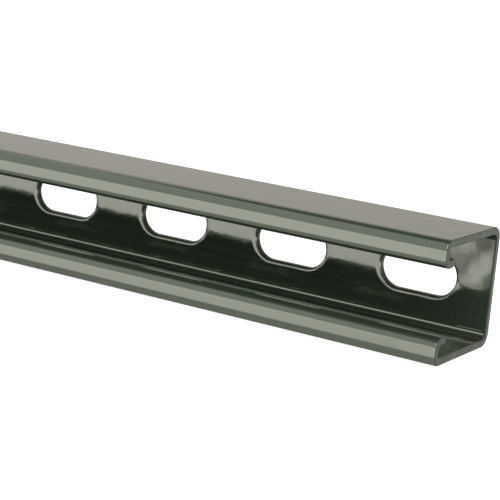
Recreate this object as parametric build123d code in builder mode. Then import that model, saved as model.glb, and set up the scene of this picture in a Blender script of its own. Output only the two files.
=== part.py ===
from build123d import *
import math
import os

# Slotted strut channel: one length of lipped C-section steel, roll-formed from a single strip whose
# web was punched with a row of round-ended slots before forming.
# The length lies on one flange: X along the length, the open mouth towards -Y, the web at +Y, and
# the underside of the lower flange on Z = 0. The origin is under the middle of the length and depth.
# All sizes are in millimetres.

# Overall section and stock length
length = 304.8
section_height = 41.275
section_depth = 41.275
sheet_thickness = 2.667

# Lips: the face that closes part of the mouth, and the return turned in from its edge
lip_face_height = 9.525
return_depth = 7.14

# Inside radii of the three pairs of bends
web_bend_inside = 1.9
lip_bend_inside = 0.95
return_bend_inside = 1.5

# Outside of the return's bend: a tight knee off the lip's face, then a slower curve onto its crown
return_knee_radius = 2.4
return_knee_turn = 50
return_crown_radius = 5.0
knee_to_crown_flat = 0.15

# Slots punched through the web, counted from the cut end at +X. The cuts fall where the saw came
# down on a long run of channel, so the row isn't quite centred on the length.
slot_length = 28.575
slot_width = 14.2875
slot_pitch = 50.8
first_slot_inset = 27.3
least_end_wall = 6.0

# Edges left by slitting, punching and cutting
slit_edge_outside = 1.0
slit_edge_inside = 0.5
punch_entry_radius = 0.9
cut_end_chamfer = 0.35

# Planes of the section, and the outside radii that the sheet's thickness gives
front = -section_depth / 2
back = section_depth / 2
return_edge = front + return_depth
web_bend_outside = web_bend_inside + sheet_thickness
lip_bend_outside = lip_bend_inside + sheet_thickness

# The slope between the return's knee and its crown is as long as their two curves need.
knee_tangent = return_knee_radius * math.tan(math.radians(return_knee_turn / 2))
crown_tangent = return_crown_radius * math.tan(math.radians((90 - return_knee_turn) / 2))
knee_slope = knee_tangent + knee_to_crown_flat + crown_tangent
knee_run = knee_slope * math.sin(math.radians(return_knee_turn))
knee_rise = knee_slope * math.cos(math.radians(return_knee_turn))

# Corners of the section's lower half with their radii, from inside the web round the lip to outside it
lower_corners = [
    (back - sheet_thickness, sheet_thickness, web_bend_inside),
    (front + sheet_thickness, sheet_thickness, lip_bend_inside),
    (front + sheet_thickness, lip_face_height - sheet_thickness, return_bend_inside),
    (return_edge, lip_face_height - sheet_thickness, slit_edge_inside),
    (return_edge, lip_face_height, slit_edge_outside),
    (front + knee_run, lip_face_height, return_crown_radius),
    (front, lip_face_height - knee_rise, return_knee_radius),
    (front, 0, lip_bend_outside),
    (back, 0, web_bend_outside),
]
upper_corners = [(y, section_height - z, radius) for y, z, radius in reversed(lower_corners)]
corners = lower_corners + upper_corners

# As many slots as leave a whole wall of web at the far cut end
last_slot_reach = length - first_slot_inset - slot_length / 2 - least_end_wall
slot_count = 1 + math.floor(last_slot_reach / slot_pitch)
slot_row_centre = length / 2 - first_slot_inset - (slot_count - 1) * slot_pitch / 2

os.makedirs("parts", exist_ok=True)

with BuildPart() as strut_channel:
    # The section is one closed outline, since the upper half mirrors the lower.
    with BuildSketch(Plane.YZ):
        with BuildLine():
            FilletPolyline(
                [(y, z) for y, z, radius in corners],
                radius=[radius for y, z, radius in corners],
                close=True,
            )
        make_face()
    extrude(amount=length / 2, both=True)

    # The cut ends are deburred: a small chamfer follows the whole section at both of them.
    end_edges = strut_channel.edges().group_by(Axis.X)
    chamfer(end_edges[0] + end_edges[-1], length=cut_end_chamfer)

    # The row of slots, along the middle of the web
    with BuildSketch(Plane.XZ.offset(-back)):
        with Locations((slot_row_centre, section_height / 2)):
            with GridLocations(slot_pitch, slot_pitch, slot_count, 1):
                SlotOverall(slot_length, slot_width)
    extrude(amount=sheet_thickness, mode=Mode.SUBTRACT)

    # The punch entered from the inside of the web, so the sheet rolls into the slots there, and
    # the slots' edges on the back of the web stay crisp.
    inner_web = strut_channel.faces().filter_by(Axis.Y).sort_by(Axis.Y)[-2]
    fillet(inner_web.inner_wires().edges(), radius=punch_entry_radius)

strut_channel.part.label = "strut_channel"
export_step(strut_channel.part, "parts/strut_channel.step")
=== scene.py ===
"""Looks of a slotted, lipped strut channel in baked dark green enamel.

Metres, in the part's own frame: the channel runs along X, its mouth faces -Y, its slotted web is on +Y
and its lower side lies on the floor, Z = 0, with the origin under its middle.
"""

import logging
import math
from dataclasses import dataclass, field
from enum import Enum
from typing import Any

import bmesh
import bpy
from mathutils import Matrix, Vector

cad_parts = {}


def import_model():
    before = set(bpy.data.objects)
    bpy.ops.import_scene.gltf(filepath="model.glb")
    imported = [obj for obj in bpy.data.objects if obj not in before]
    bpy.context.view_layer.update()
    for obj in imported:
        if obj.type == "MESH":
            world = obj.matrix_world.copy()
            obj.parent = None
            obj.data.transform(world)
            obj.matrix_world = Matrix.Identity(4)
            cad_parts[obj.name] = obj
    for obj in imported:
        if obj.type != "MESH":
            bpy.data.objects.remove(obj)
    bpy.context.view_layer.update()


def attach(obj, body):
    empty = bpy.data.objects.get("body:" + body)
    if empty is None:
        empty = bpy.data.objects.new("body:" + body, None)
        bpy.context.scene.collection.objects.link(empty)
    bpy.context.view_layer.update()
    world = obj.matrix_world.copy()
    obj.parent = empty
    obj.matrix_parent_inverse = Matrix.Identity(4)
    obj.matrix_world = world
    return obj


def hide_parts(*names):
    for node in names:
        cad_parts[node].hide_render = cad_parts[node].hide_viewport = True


LOG = logging.getLogger("strut_channel")
MM = 0.001
TOUCH = 1e-6
QUARTER_TURN = math.pi / 2
EdgeList = list[bmesh.types.BMEdge]

# Over this length a mask on the sheet goes from 0 to 1.
SOFT = 0.1 * MM

MATH = "ShaderNodeMath"
MAP_RANGE = "ShaderNodeMapRange"
MIX = "ShaderNodeMix"
NOISE = "ShaderNodeTexNoise"
MULTIPLY = {"operation": "MULTIPLY"}
MULTIPLY_ADD = {"operation": "MULTIPLY_ADD"}
SUBTRACT = {"operation": "SUBTRACT"}
ABSOLUTE = {"operation": "ABSOLUTE"}
MAXIMUM = {"operation": "MAXIMUM"}
SMOOTH = {"interpolation_type": "SMOOTHSTEP"}


class Rim(Enum):
    """Rounding of each kind of sheet edge: (radius in mm, segments)."""

    SLIT_OUTSIDE = (1.0, 6)
    SLIT_INSIDE = (0.5, 4)
    CUT_END = (0.4, 4)
    PUNCH_ENTRY = (0.9, 6)
    PUNCH_EXIT = (0.25, 3)


class Turn(Enum):
    """Which way a bend's axis lies: the strip's outer skin rolls one way and its inner skin back."""

    OUTER = -1
    INNER = 1


def hex_to_linear(text: str) -> tuple[float, float, float, float]:
    """Turns an sRGB hex colour into the linear colour that shaders use.

    Args:
        text: A colour such as "#1f2a1d".

    Returns:
        Red, green, blue and alpha, linear, with alpha 1.
    """
    channels = [int(text[i : i + 2], 16) / 255 for i in (1, 3, 5)]
    linear = [c / 12.92 if c <= 0.04045 else ((c + 0.055) / 1.055) ** 2.4 for c in channels]
    return linear[0], linear[1], linear[2], 1.0


def add_node(
    tree: bpy.types.NodeTree,
    kind: str,
    settings: dict[str, Any] | None = None,
    values: dict[Any, Any] | None = None,
    links: dict[Any, bpy.types.NodeSocket | bpy.types.Node] | None = None,
) -> bpy.types.Node:
    """Adds one node with its settings, its input values and the links that feed it.

    Args:
        tree: The node tree that gets the node.
        kind: The node's type, such as "ShaderNodeBump".
        settings: Properties of the node itself.
        values: Values of unlinked inputs, by socket name or number.
        links: What feeds each linked input, by socket name or number: an output, or a node's first one.

    Returns:
        The new node.
    """
    node = tree.nodes.new(kind)
    for name, setting in (settings or {}).items():
        setattr(node, name, setting)
    for socket, value in (values or {}).items():
        node.inputs[socket].default_value = value
    for socket, source in (links or {}).items():
        output = source if isinstance(source, bpy.types.NodeSocket) else source.outputs[0]
        tree.links.new(output, node.inputs[socket])
    return node


@dataclass(frozen=True)
class RolledSection:
    """The channel's cross-section in mm: sheet bent into a web, two flanges, two lips and two returns."""

    height: float = 41.275
    depth: float = 41.275
    sheet: float = 2.667
    lip_height: float = 9.525
    return_depth: float = 7.14
    web_bend_inside: float = 1.9
    lip_bend_inside: float = 0.95
    return_bend_inside: float = 1.5
    knee_radius: float = 2.4
    knee_turn: float = 50.0
    crown_radius: float = 5.0
    knee_to_crown_flat: float = 0.15
    return_hook: float = 6.0
    corner_paint: float = 0.4
    facet_degrees: float = 4.5

    @property
    def front(self) -> float:
        """Y of the lips' front, in mm."""
        return -self.depth / 2

    @property
    def back(self) -> float:
        """Y of the web's back, in mm."""
        return self.depth / 2

    @property
    def inner_back(self) -> float:
        """Y of the web's inner face, in mm."""
        return self.back - self.sheet

    @property
    def web_bend(self) -> float:
        """Outside radius of the bend between web and flange, in mm."""
        return self.web_bend_inside + self.sheet

    @property
    def lip_bend(self) -> float:
        """Outside radius of the bend between flange and lip, in mm."""
        return self.lip_bend_inside + self.sheet

    @property
    def inner_web_bend(self) -> float:
        """Inside radius of the bend between web and flange with the paint that gathers there, in mm."""
        return self.web_bend_inside + self.corner_paint

    @property
    def crown_turn(self) -> float:
        """What the return's crown turns after its knee to lie flat, in degrees."""
        return 90 - self.knee_turn

    @property
    def knee_tangent(self) -> float:
        """Length of the knee's tangent, in mm."""
        return self.knee_radius * math.tan(math.radians(self.knee_turn / 2))

    @property
    def crown_tangent(self) -> float:
        """Length of the crown's tangent, in mm."""
        return self.crown_radius * math.tan(math.radians(self.crown_turn / 2))

    @property
    def knee_slope(self) -> tuple[float, float]:
        """How far the slope from knee corner to crown corner goes in Y and Z, in mm."""
        slope = self.knee_tangent + self.knee_to_crown_flat + self.crown_tangent
        turn = math.radians(self.knee_turn)
        return slope * math.sin(turn), slope * math.cos(turn)


@dataclass(frozen=True)
class SlotRow:
    """The row of slots that is punched along the web, in mm."""

    length: float = 28.575
    width: float = 14.2875
    pitch: float = 50.8
    count: int = 6
    row_centre: float = -1.9
    end_steps: int = 28
    collar: float = 2.4

    @property
    def centres(self) -> list[float]:
        """X of each slot's centre, in mm."""
        first = self.row_centre - (self.count - 1) * self.pitch / 2
        return [first + i * self.pitch for i in range(self.count)]

    @property
    def collar_radius(self) -> float:
        """Radius of the round ends of the collar around a slot, in mm."""
        return self.width / 2 + self.collar

    @property
    def half_straight(self) -> float:
        """Half the length of a slot's straight side, in mm."""
        return (self.length - self.width) / 2


@dataclass(frozen=True)
class Grain:
    """One soft random pattern in the paint: how large its patches are and how many finer layers it has."""

    pitch_mm: float
    detail: float
    softness: float = 0.45

    @property
    def values(self) -> dict[str, float]:
        """What the noise that draws it is set to."""
        return {"Scale": 1 / (self.pitch_mm * MM), "Detail": self.detail, "Roughness": self.softness}


@dataclass(frozen=True)
class SheetPoint:
    """Where the shaded point lies in the sheet, in metres, and whether that is in the web, from 0 to 1."""

    place: bpy.types.NodeSocket
    x: bpy.types.NodeSocket
    y: bpy.types.NodeSocket
    z: bpy.types.NodeSocket
    off_row: bpy.types.Node
    on_web: bpy.types.Node


@dataclass(frozen=True)
class BakedGreenEnamel:
    """Baked dark green enamel, flow-coated over roll-formed steel.

    The paint flows before it is baked, so it dries very glossy, with the shallow dimples of orange peel and
    longer waves where it sagged. The eye sees a near-black green that mirrors bright surroundings in
    softly wavering bands. The sawn ends and the punched walls hold less paint and shine less, and their
    low index is also painted shade that dims what they mirror. The two lower inside corners get a painted
    highlight: a far higher index and a smoother gloss. Near the cut, patches inside the web get painted
    shade: a lower index, so they mirror less.
    The sheet under it shows too, in what it mirrors: the punch drew a dish down around each slot, the web
    leans a little out of square, and near the cut the sheet is less even. The index of refraction is
    higher than an enamel's, matched to how strongly the piece mirrors.
    """

    name: str = "baked green enamel on roll-formed steel"
    section: RolledSection = field(default_factory=RolledSection)
    slots: SlotRow = field(default_factory=SlotRow)
    body_green: str = "#394337"
    thick_green: str = "#323c30"
    mirror_tint: str = "#fdffed"
    ior: float = 2.5
    # Thin paint on the cut ends and punched walls, with painted shade: this low index dims what they mirror.
    thin_paint_shade_ior: float = 1.25
    # Painted shade in patches inside the web near the cut: a lower index, so they mirror less.
    patch_shade_ior: float = 1.55
    # Painted highlight in the two lower inside corners: this index, and the roughness three lines down.
    corner_highlight_ior: float = 4.5
    gloss_roughness: tuple[float, float] = (0.05, 0.09)
    thin_roughness: float = 0.3
    corner_highlight_roughness: float = 0.015
    shade: Grain = Grain(22.0, 3.0)
    patch_noise: Grain = Grain(9.0, 2.0)
    patch_levels: tuple[float, float] = (0.38, 0.58)
    peel: Grain = Grain(2.4, 1.0)
    peel_depth_mm: float = 0.016
    waves: Grain = Grain(9.0, 1.0)
    wave_depth_mm: float = 0.06
    uneven_times: float = 5.0
    dish_depth_mm: float = 0.1
    dish_width_mm: float = 2.0
    web_lean: float = 0.007
    lean_at_cut: float = 0.2
    web_bow: float = 0.8
    lean_from_mm: float = 13.5
    cut_plane_mm: float = 152.4
    cut_zone_mm: float = 0.15
    web_rim_mm: float = 0.5
    near_cut_mm: float = 34.0
    slot_rim_mm: float = 0.3
    wall_share_mm: float = 0.7
    back_skin_mm: float = 0.5
    corner_reach_mm: float = 3.0
    corner_half_mm: float = 2.0
    # Heights, from the middle, of the band that gets the painted corner highlight.
    highlight_band_mm: tuple[float, float] = (15.3, 18.1)

    def _locate(self, tree: bpy.types.NodeTree) -> SheetPoint:
        """Adds what tells where the shaded point lies.

        Args:
            tree: The material's tree.

        Returns:
            The point.
        """
        place = add_node(tree, "ShaderNodeTexCoord").outputs["Object"]
        x, y, z = add_node(tree, "ShaderNodeSeparateXYZ", links={0: place}).outputs
        above = add_node(tree, MATH, SUBTRACT, {1: self.section.height / 2 * MM}, {0: z})
        off_row = add_node(tree, MATH, ABSOLUTE, links={0: above})
        web = self.section.inner_back * MM
        on_web = add_node(tree, MAP_RANGE, values={1: web - SOFT, 2: web - SOFT / 2}, links={0: y})
        return SheetPoint(place, x, y, z, off_row, on_web)

    def _find_thin_paint_and_shade(self, tree: bpy.types.NodeTree, point: SheetPoint) -> bpy.types.Node:
        """Adds the mask of the faces that hold little paint and also get painted shade.

        Args:
            tree: The material's tree.
            point: The shaded point.

        Returns:
            The mask: 1 on the cut ends, on the web's rim there and on the punched walls.
        """
        end = self.cut_plane_mm * MM
        along = add_node(tree, MATH, ABSOLUTE, links={0: point.x})
        cut = {1: end - self.cut_zone_mm * MM, 2: end - SOFT}
        at_cut = add_node(tree, MAP_RANGE, values=cut, links={0: along})
        rim = end - self.web_rim_mm * MM
        near_end = add_node(tree, MAP_RANGE, values={1: rim, 2: rim + SOFT / 2}, links={0: along})
        reach = (self.section.inner_back - self.corner_reach_mm) * MM
        by_web = add_node(tree, MAP_RANGE, values={1: reach, 2: reach + SOFT}, links={0: point.y})
        web_rim = add_node(tree, MATH, MULTIPLY, links={0: near_end, 1: by_web})

        middle = (self.section.inner_back + self.section.back) / 2 * MM
        beyond = add_node(tree, MATH, SUBTRACT, {1: middle}, {0: point.y})
        off_middle = add_node(tree, MATH, ABSOLUTE, links={0: beyond})
        share = self.wall_share_mm * MM
        in_wall = add_node(tree, MAP_RANGE, values={1: share + 2 * SOFT, 2: share}, links={0: off_middle})
        wall = (self.slots.width / 2 + self.slot_rim_mm) * MM
        in_row = add_node(tree, MAP_RANGE, values={1: wall + SOFT, 2: wall}, links={0: point.off_row})
        in_slot = add_node(tree, MATH, MULTIPLY, links={0: in_wall, 1: in_row})
        bare = add_node(tree, MATH, MAXIMUM, links={0: web_rim, 1: in_slot})
        return add_node(tree, MATH, MAXIMUM, links={0: at_cut, 1: bare})

    def _find_corner_highlight(self, tree: bpy.types.NodeTree, point: SheetPoint) -> bpy.types.Node:
        """Adds the mask of the two lower inside corners, which get a painted highlight.

        Args:
            tree: The material's tree.
            point: The shaded point.

        Returns:
            The mask: 1 in the corners.
        """
        off_axis = add_node(tree, MATH, ABSOLUTE, links={0: point.y})
        corner = (self.section.inner_back - self.corner_reach_mm + self.corner_half_mm) * MM
        away = add_node(tree, MATH, SUBTRACT, {1: corner}, {0: off_axis})
        off_corner = add_node(tree, MATH, ABSOLUTE, links={0: away})
        half = self.corner_half_mm * MM
        by_corner = add_node(tree, MAP_RANGE, values={1: half, 2: half - SOFT}, links={0: off_corner})
        middle = self.section.height / 2 * MM
        below_row = add_node(
            tree, MAP_RANGE, values={1: 0.0, 2: 2 * middle, 3: middle, 4: -middle}, links={0: point.z}
        )
        top, foot = (z * MM for z in self.highlight_band_mm)
        under_top = add_node(tree, MAP_RANGE, values={1: top, 2: top + SOFT}, links={0: below_row})
        over_foot = add_node(tree, MAP_RANGE, values={1: foot, 2: foot - SOFT}, links={0: below_row})
        in_corner = add_node(tree, MATH, MULTIPLY, links={0: under_top, 1: by_corner})
        return add_node(tree, MATH, MULTIPLY, links={0: in_corner, 1: over_foot})

    def _find_shade_patches(self, tree: bpy.types.NodeTree, point: SheetPoint) -> bpy.types.Node:
        """Adds the mask of the patches inside the web, near the cut, that get painted shade.

        Args:
            tree: The material's tree.
            point: The shaded point.

        Returns:
            The mask: 1 in the middle of a patch at the cut.
        """
        skin = (self.section.back - self.back_skin_mm) * MM
        in_trough = add_node(tree, MAP_RANGE, values={1: skin, 2: skin - SOFT}, links={0: point.y})
        inside = add_node(tree, MATH, MULTIPLY, links={0: point.on_web, 1: in_trough})
        grain = add_node(tree, NOISE, values=self.patch_noise.values, links={0: point.place})
        low, high = self.patch_levels
        patch_noise = add_node(tree, MAP_RANGE, values={1: low, 2: high}, links={0: grain})
        patchy = add_node(tree, MATH, MULTIPLY, links={0: patch_noise, 1: inside})
        near_cut = add_node(tree, MAP_RANGE, values=self._near_cut, links={0: point.x})
        return add_node(tree, MATH, MULTIPLY, links={0: patchy, 1: near_cut})

    @property
    def _near_cut(self) -> dict[int, float]:
        """Between which X the sheet and its paint change towards the cut."""
        end = self.cut_plane_mm * MM
        return {1: end - self.near_cut_mm * MM, 2: end}

    def _lean_web(self, tree: bpy.types.NodeTree, point: SheetPoint) -> bpy.types.Node:
        """Adds the web's lean and bow, which start at a line along it and grow with the height.

        Args:
            tree: The material's tree.
            point: The shaded point.

        Returns:
            How far the web stands out of its plane, in metres.
        """
        low = self.lean_from_mm * MM
        climb = add_node(tree, MAP_RANGE, values={1: low, 2: low + 1.0}, links={0: point.z})
        ends = {3: self.web_lean, 4: self.lean_at_cut * self.web_lean}
        lean = add_node(tree, MAP_RANGE, values=self._near_cut | ends, links={0: point.x})
        slope = add_node(tree, MATH, MULTIPLY_ADD, {1: self.web_bow}, {0: climb, 2: lean})
        height = add_node(tree, MATH, MULTIPLY, links={0: climb, 1: slope})
        return add_node(tree, MATH, MULTIPLY, links={0: height, 1: point.on_web})

    def _dish_slots(self, tree: bpy.types.NodeTree, point: SheetPoint) -> bpy.types.Node:
        """Adds the dish that the punch draws down around each slot.

        Args:
            tree: The material's tree.
            point: The shaded point.

        Returns:
            The sheet's level, from 0 at a slot's rim to 1 clear of it.
        """
        row = self.slots
        from_first = add_node(tree, MATH, SUBTRACT, {1: row.centres[0] * MM}, {0: point.x})
        from_slot = add_node(
            tree, MATH, {"operation": "PINGPONG"}, {1: row.pitch / 2 * MM}, {0: from_first}
        )
        past = add_node(tree, MATH, SUBTRACT, {1: row.half_straight * MM}, {0: from_slot})
        past_straight = add_node(tree, MATH, MAXIMUM, {1: 0.0}, {0: past})
        away = add_node(tree, "ShaderNodeCombineXYZ", links={0: past_straight, 1: point.off_row})
        distance = add_node(tree, "ShaderNodeVectorMath", {"operation": "LENGTH"}, links={0: away})
        rim = row.width / 2 * MM
        width = {1: rim, 2: rim + self.dish_width_mm * MM}
        level = add_node(tree, MAP_RANGE, SMOOTH, width, {0: distance.outputs["Value"]})
        return add_node(tree, MATH, MULTIPLY, links={0: level, 1: point.on_web})

    def _shape_relief(self, tree: bpy.types.NodeTree, point: SheetPoint) -> dict[str, bpy.types.Node]:
        """Adds the relief, from the sheet's own shape up to the paint's orange peel.

        Args:
            tree: The material's tree.
            point: The shaded point.

        Returns:
            The link that gives the shader its normal.
        """
        sag = add_node(tree, NOISE, values=self.waves.values, links={0: point.place})
        uneven = self._near_cut | {3: 1.0, 4: self.uneven_times}
        more = add_node(tree, MAP_RANGE, values=uneven, links={0: point.x})
        swell = add_node(tree, MATH, MULTIPLY, links={0: sag, 1: more})
        layers = (
            (self._lean_web(tree, point), 1.0),
            (self._dish_slots(tree, point), self.dish_depth_mm * MM),
            (swell, self.wave_depth_mm * MM),
            (add_node(tree, NOISE, values=self.peel.values, links={0: point.place}), self.peel_depth_mm * MM),
        )
        under: dict[str, bpy.types.Node] = {}
        for height, depth in layers:
            values = {"Strength": 1.0, "Distance": depth}
            links = {"Height": height} | under
            under = {"Normal": add_node(tree, "ShaderNodeBump", values=values, links=links)}
        return under

    def build(self) -> bpy.types.Material:
        """Makes the material.

        Returns:
            The enamel, patterned on Object coordinates.
        """
        material = bpy.data.materials.new(self.name)
        material.use_nodes = True
        tree = material.node_tree
        tree.nodes.clear()
        point = self._locate(tree)
        thin_and_shaded = self._find_thin_paint_and_shade(tree, point)
        corner_highlight = self._find_corner_highlight(tree, point)
        shade_patches = self._find_shade_patches(tree, point)

        shade = add_node(tree, NOISE, values=self.shade.values, links={0: point.place})
        greens = {6: hex_to_linear(self.body_green), 7: hex_to_linear(self.thick_green)}
        colour = add_node(tree, MIX, {"data_type": "RGBA"}, greens, {0: shade})
        low, high = self.gloss_roughness
        baked = add_node(tree, MAP_RANGE, values={3: low, 4: high}, links={0: shade})
        # Painted highlight in the lower inside corners: a smoother gloss here and a far higher index below.
        smooth = add_node(tree, MIX, values={3: self.corner_highlight_roughness}, links={0: corner_highlight, 2: baked})
        roughness = add_node(tree, MIX, values={3: self.thin_roughness}, links={0: thin_and_shaded, 2: smooth})
        # Painted shade: patches inside the web near the cut get a lower index and mirror less.
        body = add_node(tree, MAP_RANGE, values={3: self.ior, 4: self.patch_shade_ior}, links={0: shade_patches})
        coated = add_node(tree, MIX, values={3: self.corner_highlight_ior}, links={0: corner_highlight, 2: body})
        # Thinner paint and painted shade: the low index dims what the cut ends and punched walls mirror.
        ior = add_node(tree, MIX, values={3: self.thin_paint_shade_ior}, links={0: thin_and_shaded, 2: coated})
        shader = add_node(
            tree,
            "ShaderNodeBsdfPrincipled",
            values={"Metallic": 0.0, "Specular Tint": hex_to_linear(self.mirror_tint)},
            links={"Base Color": colour.outputs[2], "Roughness": roughness, "IOR": ior}
            | self._shape_relief(tree, point),
        )
        add_node(tree, "ShaderNodeOutputMaterial", links={"Surface": shader})
        return material


@dataclass
class StrutChannel:
    """The roll-formed, slotted and enamelled channel, one piece of sheet."""

    section: RolledSection = field(default_factory=RolledSection)
    slots: SlotRow = field(default_factory=SlotRow)
    finish: BakedGreenEnamel = field(default_factory=BakedGreenEnamel)
    length: float = 304.8
    stations: int = 60
    sharp_degrees: float = 60.0
    name: str = "enamelled_channel"

    def _flat(self, mesh: bmesh.types.BMesh, edges: EdgeList, move: tuple[float, float]) -> EdgeList:
        """Draws the skin's free edge straight out into a flat.

        Args:
            mesh: The skin so far.
            edges: Its free edge.
            move: How far the edge goes in Y and Z, in mm.

        Returns:
            The new free edge.
        """
        drawn = bmesh.ops.extrude_edge_only(mesh, edges=edges)["geom"]
        corners = [g for g in drawn if isinstance(g, bmesh.types.BMVert)]
        bmesh.ops.translate(mesh, verts=corners, vec=(0, move[0] * MM, move[1] * MM))
        moved = set(corners)
        return [g for g in drawn if isinstance(g, bmesh.types.BMEdge) and set(g.verts) <= moved]

    def _bend(
        self,
        mesh: bmesh.types.BMesh,
        edges: EdgeList,
        centre: tuple[float, float],
        degrees: float,
        turn: Turn,
    ) -> EdgeList:
        """Rolls the skin's free edge round a bend.

        Args:
            mesh: The skin so far.
            edges: Its free edge.
            centre: Y and Z of the bend's axis, in mm.
            degrees: How far it turns.
            turn: Which way it turns.

        Returns:
            The new free edge.
        """
        rolled = bmesh.ops.spin(
            mesh,
            geom=edges + list(dict.fromkeys(v for e in edges for v in e.verts)),
            cent=(0, centre[0] * MM, centre[1] * MM),
            axis=(1, 0, 0),
            dvec=(0, 0, 0),
            angle=turn.value * math.radians(degrees),
            steps=round(degrees / self.section.facet_degrees),
            use_merge=False,
            use_duplicate=False,
        )["geom_last"]
        return [g for g in rolled if isinstance(g, bmesh.types.BMEdge)]

    def _roll_lower_half(self, mesh: bmesh.types.BMesh) -> None:
        """Rolls the lower half of the sheet, out along its outer skin and back along its inner one.

        Args:
            mesh: An empty mesh, which gets both skins from the web's outer edge to its inner edge.
        """
        s = self.section
        top = s.lip_height
        run, rise = s.knee_slope
        inner_front = s.front + s.sheet
        y, z = s.back * MM, s.web_bend * MM
        ends = [mesh.verts.new((side * self.length / 2 * MM, y, z)) for side in (-1, 1)]
        bmesh.ops.subdivide_edges(mesh, edges=[mesh.edges.new(ends)], cuts=self.stations - 1)
        edges = list(mesh.edges)

        # Outer skin: web bend, flange, lip bend, lip face, the return's knee and crown, its flat and its edge
        edges = self._bend(mesh, edges, (s.back - s.web_bend, s.web_bend), 90, Turn.OUTER)
        edges = self._flat(mesh, edges, (-(s.depth - s.web_bend - s.lip_bend), 0))
        edges = self._bend(mesh, edges, (s.front + s.lip_bend, s.lip_bend), 90, Turn.OUTER)
        knee = top - rise - s.knee_tangent
        edges = self._flat(mesh, edges, (0, knee - s.lip_bend))
        edges = self._bend(mesh, edges, (s.front + s.knee_radius, knee), s.knee_turn, Turn.OUTER)
        share = s.knee_to_crown_flat / math.hypot(run, rise)
        edges = self._flat(mesh, edges, (run * share, rise * share))
        crown = s.front + run + s.crown_tangent
        turn = s.crown_turn + s.return_hook
        edges = self._bend(mesh, edges, (crown, top - s.crown_radius), turn, Turn.OUTER)
        hook = math.radians(s.return_hook)
        ahead = Vector((math.cos(hook), -math.sin(hook)))
        below = Vector((-math.sin(hook), -math.cos(hook)))
        crown_flat = (s.front + s.return_depth - crown) / ahead.x - s.crown_radius * math.tan(hook)
        edges = self._flat(mesh, edges, tuple(ahead * crown_flat))
        edges = self._flat(mesh, edges, tuple(below * s.sheet))

        # Inner skin: back along the return, round its bend, down the lip, along the flange, up to the web
        tip = Vector((crown, top - s.crown_radius)) - below * (s.crown_radius - s.sheet) + ahead * crown_flat
        reach = (tip.x - inner_front - s.return_bend_inside * (1 - ahead.y)) / ahead.x
        edges = self._flat(mesh, edges, tuple(ahead * -reach))
        inside = tip - ahead * reach + below * s.return_bend_inside
        edges = self._bend(mesh, edges, tuple(inside), 90 + s.return_hook, Turn.INNER)
        edges = self._flat(mesh, edges, (0, s.sheet + s.lip_bend_inside - inside.y))
        inside = (inner_front + s.lip_bend_inside, s.sheet + s.lip_bend_inside)
        edges = self._bend(mesh, edges, inside, 90, Turn.INNER)
        edges = self._flat(mesh, edges, (s.inner_back - s.inner_web_bend - inside[0], 0))
        inside = (s.inner_back - s.inner_web_bend, s.sheet + s.inner_web_bend)
        self._bend(mesh, edges, inside, 90, Turn.INNER)

    def _roll_slot(self, mesh: bmesh.types.BMesh, centre: float) -> tuple[EdgeList, EdgeList]:
        """Makes one slot: a collar on the web's back, the wall through the sheet, a collar inside.

        Args:
            mesh: The mesh that gets the slot.
            centre: X of the slot's centre, in mm.

        Returns:
            The outer outlines of the collar on the back and of the collar inside.
        """
        row = self.slots
        shrink = row.width / 2 / row.collar_radius
        outline = self._collar_outline(mesh, centre)
        rim = self._resize(mesh, self._flat(mesh, outline, (0, 0)), centre, shrink)
        entry = self._flat(mesh, rim, (-self.section.sheet, 0))
        inside = self._resize(mesh, self._flat(mesh, entry, (0, 0)), centre, 1 / shrink)
        return outline, inside

    def _collar_outline(self, mesh: bmesh.types.BMesh, centre: float) -> EdgeList:
        """Draws the outer outline of one slot's collar, two half rounds and two straights.

        Args:
            mesh: The mesh that gets the outline.
            centre: X of the slot's centre, in mm.

        Returns:
            The outline's edges.
        """
        row, middle = self.slots, self.section.height / 2
        outline: EdgeList = []
        tips: list[bmesh.types.BMVert] = []
        for side in (1, -1):
            x = centre + side * row.half_straight
            place = Vector((x, self.section.back, middle - side * row.collar_radius)) * MM
            start = mesh.verts.new(place)
            known = set(mesh.edges)
            end = bmesh.ops.spin(
                mesh,
                geom=[start],
                cent=(x * MM, 0, middle * MM),
                axis=(0, 1, 0),
                dvec=(0, 0, 0),
                angle=-math.pi,
                steps=row.end_steps,
                use_merge=False,
                use_duplicate=False,
            )["geom_last"]
            outline += [e for e in mesh.edges if e not in known]
            tips += [start, *(g for g in end if isinstance(g, bmesh.types.BMVert))]
        outline += [mesh.edges.new((tips[1], tips[2])), mesh.edges.new((tips[3], tips[0]))]
        return outline

    def _resize(self, mesh: bmesh.types.BMesh, outline: EdgeList, centre: float, share: float) -> EdgeList:
        """Scales the round ends of a slot's outline about their own centres.

        Args:
            mesh: The mesh that holds the outline.
            outline: The outline's edges.
            centre: X of the slot's centre, in mm.
            share: The new radius over the old one.

        Returns:
            The same edges.
        """
        corners = list(dict.fromkeys(v for e in outline for v in e.verts))
        for side in (1, -1):
            x = (centre + side * self.slots.half_straight) * MM
            bmesh.ops.scale(
                mesh,
                verts=[v for v in corners if side * (v.co.x - centre * MM) > 0],
                vec=(share, 1, share),
                space=Matrix.Translation((-x, 0, -self.section.height / 2 * MM)),
            )
        return outline

    def _close_web(self, mesh: bmesh.types.BMesh) -> None:
        """Closes the web's two skins between the rolled halves and around the slots.

        Args:
            mesh: Both skins without their web.
        """
        levels = (self.section.back, self.section.inner_back)
        borders = [[e for e in mesh.edges if self._lies_at(e, y)] for y in levels]
        for border in borders:
            corners = list(dict.fromkeys(v for e in border for v in e.verts))
            for x in (-self.length / 2, self.length / 2):
                border.append(mesh.edges.new([v for v in corners if abs(v.co.x - x * MM) < TOUCH]))
        for centre in self.slots.centres:
            for border, outline in zip(borders, self._roll_slot(mesh, centre)):
                border += outline
        for border in borders:
            bmesh.ops.triangle_fill(mesh, use_beauty=True, edges=border, normal=(0, 1, 0))

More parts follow.
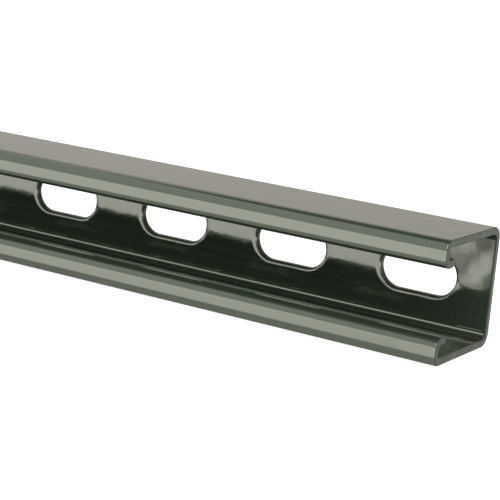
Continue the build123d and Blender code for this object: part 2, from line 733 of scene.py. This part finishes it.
    @staticmethod
    def _lies_at(edge: bmesh.types.BMEdge, y: float) -> bool:
        """Whether an edge lies wholly at one Y, in mm."""
        return all(abs(v.co.y - y * MM) < TOUCH for v in edge.verts)

    def _at_cut_end(self, edge: bmesh.types.BMEdge) -> bool:
        """Whether an edge lies in one of the two cut ends."""
        return all(abs(abs(v.co.x) - self.length / 2 * MM) < TOUCH for v in edge.verts)

    def _close_ends(self, mesh: bmesh.types.BMesh) -> None:
        """Closes both cut ends with one face each.

        Args:
            mesh: The sheet's closed outline, open at its ends.
        """
        for side in (-1, 1):
            cut = [e for e in mesh.edges if e.is_boundary and self._at_cut_end(e)]
            loop = [e for e in cut if side * e.verts[0].co.x > 0]
            bmesh.ops.contextual_create(mesh, geom=loop)

    def _round(self, mesh: bmesh.types.BMesh, edges: EdgeList, rim: Rim) -> None:
        """Rounds one kind of sheet edge.

        Args:
            mesh: The channel's mesh.
            edges: The edges to round.
            rim: Which kind of edge they are.
        """
        radius, segments = rim.value
        bmesh.ops.bevel(
            mesh,
            geom=edges,
            offset=radius * MM,
            offset_type="OFFSET",
            segments=segments,
            profile=0.5,
            affect="EDGES",
            material=-1,
            clamp_overlap=False,
        )
        LOG.info("%s: rounded %d edges, %s", self.name, len(edges), rim.name)

    def _sharp(self, mesh: bmesh.types.BMesh) -> EdgeList:
        """The edges at which the sheet's faces meet at a square corner."""
        least = math.radians(self.sharp_degrees)
        return [e for e in mesh.edges if e.is_manifold and e.calc_face_angle(0) > least]

    def _round_slit_edges(self, mesh: bmesh.types.BMesh) -> None:
        """Rounds both corners of the slit edges, along which the returns end.

        Args:
            mesh: The channel's mesh, still open at its ends.
        """
        s = self.section
        middle = s.height / 2 * MM
        slit = [e for e in self._sharp(mesh) if e.verts[0].co.y < 0]
        nearest = min(abs(e.verts[0].co.z - middle) for e in slit)
        outside = [e for e in slit if abs(abs(e.verts[0].co.z - middle) - nearest) < TOUCH]
        inside = [e for e in slit if e not in outside]
        self._round(mesh, outside, Rim.SLIT_OUTSIDE)
        self._round(mesh, inside, Rim.SLIT_INSIDE)

    def _round_rims(self, mesh: bmesh.types.BMesh) -> None:
        """Rounds punched rims and cut ends, each by its own radius.

        Args:
            mesh: The closed channel.
        """
        s = self.section
        entry = [e for e in self._sharp(mesh) if self._lies_at(e, s.inner_back) and not self._at_cut_end(e)]
        self._round(mesh, entry, Rim.PUNCH_ENTRY)
        leave = [e for e in self._sharp(mesh) if self._lies_at(e, s.back) and not self._at_cut_end(e)]
        self._round(mesh, leave, Rim.PUNCH_EXIT)
        self._round(mesh, [e for e in self._sharp(mesh) if self._at_cut_end(e)], Rim.CUT_END)

    def build(self) -> bpy.types.Object:
        """Makes the channel's mesh, rims and finish.

        Returns:
            The channel, in place of its plain solid.
        """
        mesh = bmesh.new()
        self._roll_lower_half(mesh)
        bmesh.ops.mirror(
            mesh,
            geom=list(mesh.verts) + list(mesh.edges) + list(mesh.faces),
            matrix=Matrix.Translation((0, 0, -self.section.height / 2 * MM)),
            merge_dist=0,
            axis="Z",
        )
        self._close_web(mesh)
        bmesh.ops.remove_doubles(mesh, verts=mesh.verts, dist=TOUCH)
        self._round_slit_edges(mesh)
        self._close_ends(mesh)
        bmesh.ops.recalc_face_normals(mesh, faces=mesh.faces)
        self._round_rims(mesh)
        LOG.info("%s: %.1f cm3 of steel", self.name, mesh.calc_volume() * 1e6)
        LOG.info("%s: %d open edges", self.name, sum(not e.is_manifold for e in mesh.edges))
        data = bpy.data.meshes.new(self.name)
        mesh.to_mesh(data)
        mesh.free()
        data.shade_smooth()
        channel = bpy.data.objects.new(self.name, data)
        bpy.context.scene.collection.objects.link(channel)
        even = channel.modifiers.new("even normals", "WEIGHTED_NORMAL")
        even.mode = "FACE_AREA"
        even.weight = 50
        data.materials.append(self.finish.build())
        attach(channel, "root")
        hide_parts("strut_channel")
        return channel


@dataclass(frozen=True)
class SoftBox:
    """One soft studio lamp: a rectangle that faces a point."""

    name: str
    place: tuple[float, float, float]
    aim: tuple[float, float, float]
    width: float
    height: float
    radiance: float

    def build(self) -> bpy.types.Object:
        """Makes the lamp.

        Returns:
            The lamp, turned to its aim.
        """
        lamp = bpy.data.lights.new(self.name, "AREA")
        lamp.shape = "RECTANGLE"
        lamp.size = self.width
        lamp.size_y = self.height
        lamp.energy = self.radiance * math.pi * self.width * self.height
        item = bpy.data.objects.new(self.name, lamp)
        item.location = self.place
        towards = Vector(self.aim) - Vector(self.place)
        item.rotation_euler = towards.to_track_quat("-Z", "Y").to_euler()
        bpy.context.scene.collection.objects.link(item)
        return item


@dataclass(frozen=True)
class Room:
    """The room around the channel: pale walls under a dark ceiling that leans to the back."""

    back_wall_white: str = "#fff9f3"
    front_wall_white: str = "#f3fff8"
    wall: float = 0.68
    ceiling: float = 0.1
    ceiling_lean: float = 0.22
    ceiling_edge: tuple[float, float] = (0.815, 0.875)
    side_blend: float = 0.3

    def build(self) -> bpy.types.World:
        """Makes the room, white where the camera looks past the floor.

        Returns:
            The world.
        """
        world = bpy.data.worlds.new("pale walls under a dark ceiling")
        world.use_nodes = True
        tree = world.node_tree
        tree.nodes.clear()
        way = add_node(tree, "ShaderNodeTexCoord").outputs["Generated"]
        axes = add_node(tree, "ShaderNodeSeparateXYZ", links={0: way}).outputs
        overhead = add_node(
            tree, MATH, MULTIPLY_ADD, {1: self.ceiling_lean}, {0: axes["Y"], 2: axes["Z"]}
        )
        low, high = self.ceiling_edge
        levels = {1: low, 2: high, 3: self.wall, 4: self.ceiling}
        level = add_node(tree, MAP_RANGE, SMOOTH, levels, {0: overhead})
        sides = {1: -self.side_blend, 2: self.side_blend}
        behind = add_node(tree, MAP_RANGE, values=sides, links={0: axes["Y"]})
        whites = {6: hex_to_linear(self.front_wall_white), 7: hex_to_linear(self.back_wall_white)}
        walls = add_node(tree, MIX, {"data_type": "RGBA"}, whites, {0: behind})
        room = add_node(tree, "ShaderNodeBackground", links={"Color": walls.outputs[2], "Strength": level})
        white = add_node(tree, "ShaderNodeBackground", values={"Color": (1, 1, 1, 1), "Strength": 1.0})
        camera = add_node(tree, "ShaderNodeLightPath").outputs["Is Camera Ray"]
        blend = add_node(tree, "ShaderNodeMixShader", links={0: camera, 1: room, 2: white})
        add_node(tree, "ShaderNodeOutputWorld", links={"Surface": blend})
        bpy.context.scene.world = world
        return world


@dataclass(frozen=True)
class Floor:
    """The white floor: a glow in mirrors paints a sheen at a slant, and it still takes the shadow."""

    matt: str = "#d4d4d4"
    size: float = 8.0
    glow_to_eye: float = 0.8
    glow_below: float = 0.07
    glow_at_slant: float = 1.12
    sheen_facing: tuple[float, float] = (0.53, 0.8)

    def _paint(self) -> bpy.types.Material:
        """Makes the floor's paint.

        Returns:
            Matt grey plus a glow that gives no light to what stands on it: an even white to the eye, and in a
            mirror a painted sheen, stronger at a slant, like the one a satin floor has.
        """
        paint = bpy.data.materials.new("white floor with painted sheen")
        paint.use_nodes = True
        tree = paint.node_tree
        tree.nodes.clear()
        path = add_node(tree, "ShaderNodeLightPath")
        glossy, clear = path.outputs["Is Glossy Ray"], path.outputs["Is Transmission Ray"]
        mirror = add_node(tree, MATH, MAXIMUM, links={0: glossy, 1: clear})
        # Painted sheen: the glow that mirrors see grows towards a slant.
        slant = add_node(tree, "ShaderNodeLayerWeight", values={"Blend": 0.5}).outputs["Facing"]
        low, high = self.sheen_facing
        levels = {1: low, 2: high, 3: self.glow_below, 4: self.glow_at_slant}
        sheen = add_node(tree, MAP_RANGE, SMOOTH, levels, {0: slant})
        in_mirror = add_node(tree, MATH, MULTIPLY, links={0: mirror, 1: sheen})
        eye = path.outputs["Is Camera Ray"]
        strength = add_node(tree, MATH, MULTIPLY_ADD, {1: self.glow_to_eye}, {0: eye, 2: in_mirror})
        matt = add_node(tree, "ShaderNodeBsdfDiffuse", values={"Color": hex_to_linear(self.matt)})
        glow = add_node(tree, "ShaderNodeEmission", links={"Strength": strength})
        both = add_node(tree, "ShaderNodeAddShader", links={0: matt, 1: glow})
        add_node(tree, "ShaderNodeOutputMaterial", links={"Surface": both})
        return paint

    def build(self) -> bpy.types.Object:
        """Makes the floor.

        Returns:
            The floor.
        """
        mesh = bmesh.new()
        bmesh.ops.create_grid(mesh, x_segments=1, y_segments=1, size=self.size / 2)
        data = bpy.data.meshes.new("floor")
        mesh.to_mesh(data)
        mesh.free()
        data.materials.append(self._paint())
        floor = bpy.data.objects.new("floor", data)
        bpy.context.scene.collection.objects.link(floor)
        return floor


@dataclass(frozen=True)
class Studio:
    """The floor, the room, one soft lamp and the camera."""

    floor: Floor = field(default_factory=Floor)
    room: Room = field(default_factory=Room)
    camera_place: tuple[float, float, float] = (0.35928, -0.48337, 0.13938)
    camera_heading: float = 31.02
    camera_tilt: float = -11.97
    camera_roll: float = 5.26
    camera_lens: float = 118.71
    lamps: tuple[SoftBox, ...] = (
        SoftBox("key in front", (0.75, -1.35, 1.4), (0, 0, 0), 1.7, 1.7, 2.45),
    )

    def build_camera(self) -> bpy.types.Object:
        """Makes the camera and makes it the scene's own.

        Returns:
            The camera.
        """
        data = bpy.data.cameras.new("camera")
        data.lens = self.camera_lens
        data.sensor_width = 36
        camera = bpy.data.objects.new("camera", data)
        turn = (
            Matrix.Rotation(math.radians(self.camera_heading), 4, "Z")
            @ Matrix.Rotation(QUARTER_TURN + math.radians(self.camera_tilt), 4, "X")
            @ Matrix.Rotation(math.radians(self.camera_roll), 4, "Z")
        )
        camera.matrix_world = Matrix.Translation(self.camera_place) @ turn
        bpy.context.scene.collection.objects.link(camera)
        bpy.context.scene.camera = camera
        return camera

    def build(self) -> None:
        """Makes the floor, the room, the lamps and the camera."""
        bpy.context.scene.view_settings.view_transform = "Standard"
        self.floor.build()
        self.room.build()
        for lamp in self.lamps:
            lamp.build()
        self.build_camera()


def main() -> None:
    """Builds the channel and its studio."""
    logging.basicConfig(level=logging.INFO, format="%(name)s: %(message)s")
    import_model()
    channel = StrutChannel().build()
    LOG.info("%s: %d faces", channel.name, len(channel.data.polygons))
    Studio().build()
    LOG.info("studio: floor, room, lamps and camera are in place")


if __name__ == "__main__":
    main()
